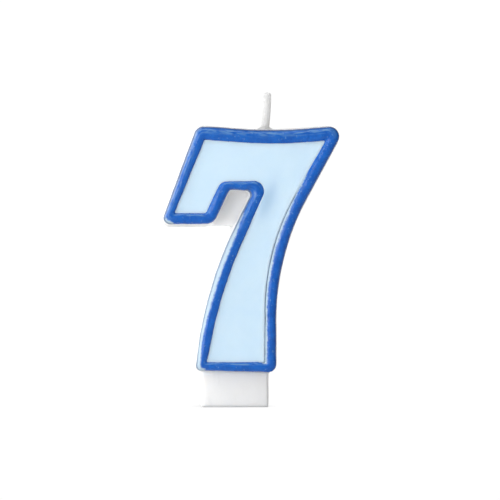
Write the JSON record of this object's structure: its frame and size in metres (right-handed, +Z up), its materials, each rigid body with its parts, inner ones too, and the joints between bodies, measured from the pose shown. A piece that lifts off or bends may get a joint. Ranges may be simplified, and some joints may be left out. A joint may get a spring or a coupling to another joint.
{
  "type": "number candle",
  "caption": "Push-in wax candle shaped as the numeral 7, with a pale blue panel, a raised blue outline, a white foot and a waxed wick on top.",
  "frame": {"origin": "middle of the flat underside of the foot", "axes": "+Z up through the numeral to the wick, numeral faces -Y, +X to the reader's right"},
  "size_m": [0.0453, 0.012, 0.0789],
  "materials": {
    "white_wax": "satin white paraffin wax, slightly translucent, with faint casting marks and scuffs",
    "pale_blue_wax": "smooth satin pale blue wax, poured, with faint clouding",
    "blue_wax": "glossy strong blue wax with small ripples, pinholes and an uneven lower edge",
    "cotton": "plaited undyed cotton",
    "wick_wax": "thin translucent wax coat over the plait"
  },
  "bodies": {
    "root": {"wax_body": "white_wax", "face_panel": "pale_blue_wax", "outline_bead": "blue_wax", "wick_strand_1": "cotton", "wick_strand_2": "cotton", "wick_strand_3": "cotton", "wick_coating": "wick_wax", "wick_seal": "wick_wax"}
  },
  "joints": []
}
